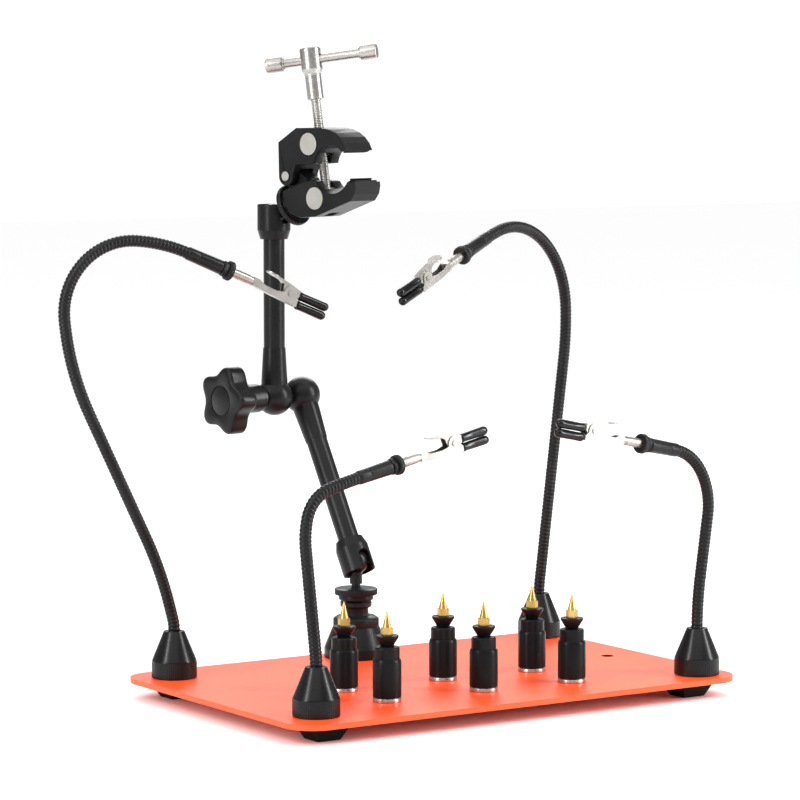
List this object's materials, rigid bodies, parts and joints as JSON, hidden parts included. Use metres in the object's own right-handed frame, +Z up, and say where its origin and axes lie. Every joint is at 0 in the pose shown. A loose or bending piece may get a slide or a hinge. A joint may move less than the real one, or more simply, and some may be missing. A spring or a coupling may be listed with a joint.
{
  "type": "pcb holder vise",
  "caption": "Magnetic board-holding station: steel plate on rubber feet with sprung board posts, gooseneck clip arms and a jointed arm with a screw clamp.",
  "frame": {"origin": "centre of the plate's outline at the level of the bench that the rubber feet stand on", "axes": "+X to the right along the plate's long side, towards the hanging hole; +Y to the rear, where the jointed arm stands; +Z up"},
  "size_m": [0.3599, 0.2461, 0.3744],
  "materials": {
    "plate_paint": "satin fine-texture powder coat",
    "foot_rubber": "matt",
    "magnet_nickel": "bright nickel plate",
    "post_black": "black anodised, satin",
    "spring_steel": "plain",
    "brass_point": "turned, satin",
    "cone_black": "gloss black",
    "hose_black": "satin black, corrugated",
    "nut_black": "black, knurled",
    "clip_nickel": "nickel plate",
    "boot_black": "gloss",
    "arm_black": "black anodised, satin",
    "stud_black": "black, satin",
    "disc_black": "black anodised, knurled",
    "bolt_steel": "plain",
    "knob_black": "satin black",
    "jaw_black": "black anodised casting, satin",
    "pad_rubber": "matt, ribbed",
    "pivot_nickel": "satin nickel",
    "screw_nickel": "satin nickel"
  },
  "bodies": {
    "base": {"base_plate": "plate_paint", "rubber_feet": "foot_rubber", "base_magnets": "magnet_nickel", "post_magnets": "magnet_nickel", "post_bodies": "post_black", "post_springs": "spring_steel", "post_heads": "post_black", "post_spikes": "brass_point", "arm_base": "arm_black"},
    "sleeve_1": {"post_sleeve_1": "post_black"},
    "sleeve_2": {"post_sleeve_2": "post_black"},
    "sleeve_3": {"post_sleeve_3": "post_black"},
    "sleeve_4": {"post_sleeve_4": "post_black"},
    "sleeve_5": {"post_sleeve_5": "post_black"},
    "sleeve_6": {"post_sleeve_6": "post_black"},
    "arm_a": {"cone_a": "cone_black", "gooseneck_a": "hose_black", "thumb_nut_a": "nut_black"},
    "clip_a": {"lower_jaw_a": "clip_nickel", "lower_boot_a": "boot_black"},
    "jaw_a": {"upper_jaw_a": "clip_nickel", "upper_boot_a": "boot_black"},
    "arm_b": {"cone_b": "cone_black", "gooseneck_b": "hose_black", "thumb_nut_b": "nut_black"},
    "clip_b": {"lower_jaw_b": "clip_nickel", "lower_boot_b": "boot_black"},
    "jaw_b": {"upper_jaw_b": "clip_nickel", "upper_boot_b": "boot_black"},
    "arm_c": {"cone_c": "cone_black", "gooseneck_c": "hose_black", "thumb_nut_c": "nut_black"},
    "clip_c": {"lower_jaw_c": "clip_nickel", "lower_boot_c": "boot_black"},
    "jaw_c": {"upper_jaw_c": "clip_nickel", "upper_boot_c": "boot_black"},
    "arm_d": {"cone_d": "cone_black", "gooseneck_d": "hose_black", "thumb_nut_d": "nut_black"},
    "clip_d": {"lower_jaw_d": "clip_nickel", "lower_boot_d": "boot_black"},
    "jaw_d": {"upper_jaw_d": "clip_nickel", "upper_boot_d": "boot_black"},
    "lower_stud": {"lower_ball_stud": "stud_black"},
    "lower_disc": {"lower_lock_disc": "disc_black"},
    "link_1": {"lower_link": "arm_black", "elbow_bolt": "bolt_steel"},
    "knob": {"elbow_knob": "knob_black"},
    "link_2": {"upper_link": "arm_black"},
    "upper_stud": {"upper_ball_stud": "stud_black"},
    "upper_disc": {"upper_lock_disc": "disc_black"},
    "clamp_base": {"clamp_lower_jaw": "jaw_black", "lower_jaw_pad": "pad_rubber", "clamp_pivot": "pivot_nickel"},
    "clamp_arm": {"clamp_upper_jaw": "jaw_black", "upper_jaw_pad": "pad_rubber"},
    "barrel_1": {"lower_barrel": "pivot_nickel"},
    "barrel_2": {"upper_barrel": "pivot_nickel"},
    "screw": {"clamp_screw": "screw_nickel"},
    "tommy_bar": {"sliding_bar": "screw_nickel"}
  },
  "joints": [
    {"name": "post_1_sleeve_slide", "type": "slide", "parent": "base", "child": "sleeve_1", "axis": [0, 0, -1], "range_m": [0, 0.0038], "stiffness_N_per_m": 400, "springref_m": -0.004, "deforming": ["post_springs"]},
    {"name": "post_2_sleeve_slide", "type": "slide", "parent": "base", "child": "sleeve_2", "axis": [0, 0, -1], "range_m": [0, 0.0038], "stiffness_N_per_m": 400, "springref_m": -0.004, "deforming": ["post_springs"]},
    {"name": "post_3_sleeve_slide", "type": "slide", "parent": "base", "child": "sleeve_3", "axis": [0, 0, -1], "range_m": [0, 0.0038], "stiffness_N_per_m": 400, "springref_m": -0.004, "deforming": ["post_springs"]},
    {"name": "post_4_sleeve_slide", "type": "slide", "parent": "base", "child": "sleeve_4", "axis": [0, 0, -1], "range_m": [0, 0.0038], "stiffness_N_per_m": 400, "springref_m": -0.004, "deforming": ["post_springs"]},
    {"name": "post_5_sleeve_slide", "type": "slide", "parent": "base", "child": "sleeve_5", "axis": [0, 0, -1], "range_m": [0, 0.0038], "stiffness_N_per_m": 400, "springref_m": -0.004, "deforming": ["post_springs"]},
    {"name": "post_6_sleeve_slide", "type": "slide", "parent": "base", "child": "sleeve_6", "axis": [0, 0, -1], "range_m": [0, 0.0038], "stiffness_N_per_m": 400, "springref_m": -0.004, "deforming": ["post_springs"]},
    {"name": "arm_a_swivel", "type": "hinge", "parent": "base", "child": "arm_a", "pos_m": [-0.127, 0.076, 0.012], "axis": [0, 0, 1], "range_deg": [-60, 60]},
    {"name": "clip_a_roll", "type": "hinge", "parent": "arm_a", "child": "clip_a", "pos_m": [-0.09713, 0.0718, 0.24642], "axis": [0.9115, -0.1281, -0.3907], "continuous": true},
    {"name": "clip_a_open", "type": "hinge", "parent": "clip_a", "child": "jaw_a", "pos_m": [-0.05534, 0.06593, 0.23067], "axis": [-0.1392, -0.9903, 0], "range_deg": [0, 16], "stiffness_Nm_per_rad": 0.1, "springref_deg": -28.65},
    {"name": "arm_b_swivel", "type": "hinge", "parent": "base", "child": "arm_b", "pos_m": [-0.125, -0.074, 0.012], "axis": [0, 0, 1], "range_deg": [-60, 60]},
    {"name": "clip_b_roll", "type": "hinge", "parent": "arm_b", "child": "clip_b", "pos_m": [-0.07405, -0.06864, 0.14311], "axis": [0.9762, 0.1026, 0.1908], "continuous": true},
    {"name": "clip_b_open", "type": "hinge", "parent": "clip_b", "child": "jaw_b", "pos_m": [-0.0305, -0.06407, 0.15366], "axis": [0.1045, -0.9945, 0], "range_deg": [0, 16], "stiffness_Nm_per_rad": 0.1, "springref_deg": -28.65},
    {"name": "arm_c_swivel", "type": "hinge", "parent": "base", "child": "arm_c", "pos_m": [0.13, -0.08, 0.012], "axis": [0, 0, 1], "range_deg": [-60, 60]},
    {"name": "clip_c_roll", "type": "hinge", "parent": "arm_c", "child": "clip_c", "pos_m": [0.09074, -0.08413, 0.14732], "axis": [-0.9746, -0.1024, 0.1994], "continuous": true},
    {"name": "clip_c_open", "type": "hinge", "parent": "clip_c", "child": "jaw_c", "pos_m": [0.04729, -0.08869, 0.15825], "axis": [-0.1045, 0.9945, 0], "range_deg": [0, 16], "stiffness_Nm_per_rad": 0.1, "springref_deg": -28.65},
    {"name": "arm_d_swivel", "type": "hinge", "parent": "base", "child": "arm_d", "pos_m": [0.135, 0.083, 0.012], "axis": [0, 0, 1], "range_deg": [-60, 60]},
    {"name": "clip_d_roll", "type": "hinge", "parent": "arm_d", "child": "clip_d", "pos_m": [0.0628, 0.05672, 0.25155], "axis": [-0.883, -0.3214, -0.342], "continuous": true},
    {"name": "clip_d_open", "type": "hinge", "parent": "clip_d", "child": "jaw_d", "pos_m": [0.02242, 0.04202, 0.23804], "axis": [-0.342, 0.9397, 0], "range_deg": [0, 16], "stiffness_Nm_per_rad": 0.1, "springref_deg": -28.65},
    {"name": "lower_stud_swivel", "type": "hinge", "parent": "base", "child": "lower_stud", "pos_m": [0, 0.081, 0.069], "axis": [0, 0, 1], "range_deg": [-25, 25]},
    {"name": "lower_disc_spin", "type": "hinge", "parent": "lower_stud", "child": "lower_disc", "pos_m": [0, 0.081, 0.069], "axis": [0, 0, 1], "continuous": true},
    {"name": "lower_ball_tilt", "type": "hinge", "parent": "lower_stud", "child": "link_1", "pos_m": [0, 0.081, 0.069], "axis": [0.9925, 0.1219, 0], "range_deg": [-4, 14]},
    {"name": "knob_spin", "type": "hinge", "parent": "link_1", "child": "knob", "pos_m": [-0.00618, 0.13132, 0.16436], "axis": [0.9925, 0.1219, 0], "continuous": true},
    {"name": "elbow_bend", "type": "hinge", "parent": "link_1", "child": "link_2", "pos_m": [-0.00618, 0.13132, 0.16436], "axis": [0.9925, 0.1219, 0], "range_deg": [-40, 28]},
    {"name": "upper_ball_tilt", "type": "hinge", "parent": "link_2", "child": "upper_stud", "pos_m": [-0.02702, 0.12877, 0.27236], "axis": [0.9659, 0.2588, 0], "range_deg": [-30, 20]},
    {"name": "upper_disc_spin", "type": "hinge", "parent": "upper_stud", "child": "upper_disc", "pos_m": [-0.02702, 0.12877, 0.27236], "axis": [0.2374, -0.8858, 0.3987], "continuous": true},
    {"name": "clamp_swivel", "type": "hinge", "parent": "upper_stud", "child": "clamp_base", "pos_m": [-0.02702, 0.12877, 0.27236], "axis": [0.2374, -0.8858, 0.3987], "range_deg": [-30, 30]},
    {"name": "screw_turn", "type": "hinge", "parent": "barrel_2", "child": "screw", "pos_m": [-0.01582, 0.08694, 0.28408], "axis": [-0.0405, 0.1511, 0.9877], "range_deg": [-2111.2, 2111.2]},
    {"name": "lower_barrel_turn", "type": "hinge", "parent": "clamp_base", "child": "barrel_1", "pos_m": [-0.01582, 0.08694, 0.28408], "axis": [-0.9659, -0.2588, 0], "range_deg": [-8.1, 8.1]},
    {"name": "barrels_apart", "type": "slide", "parent": "barrel_1", "child": "barrel_2", "axis": [-0.0405, 0.1511, 0.9877], "range_m": [-0.006, 0.006]},
    {"name": "clamp_jaw_open", "type": "hinge", "parent": "clamp_base", "child": "clamp_arm", "pos_m": [-0.02183, 0.10939, 0.29659], "axis": [-0.9659, -0.2588, 0], "range_deg": [-16.1, 16.1]},
    {"name": "bar_slide", "type": "slide", "parent": "screw", "child": "tommy_bar", "axis": [0.7043, -0.6968, 0.1355], "range_m": [-0.0212, 0.0088]}
  ],
  "couplings": [
    {"joint": "lower_barrel_turn", "follows": "screw_turn", "ratio": 0.0037894},
    {"joint": "barrels_apart", "follows": "screw_turn", "m_per_rad": 0.00015915},
    {"joint": "clamp_jaw_open", "follows": "screw_turn", "ratio": 0.0075788}
  ]
}
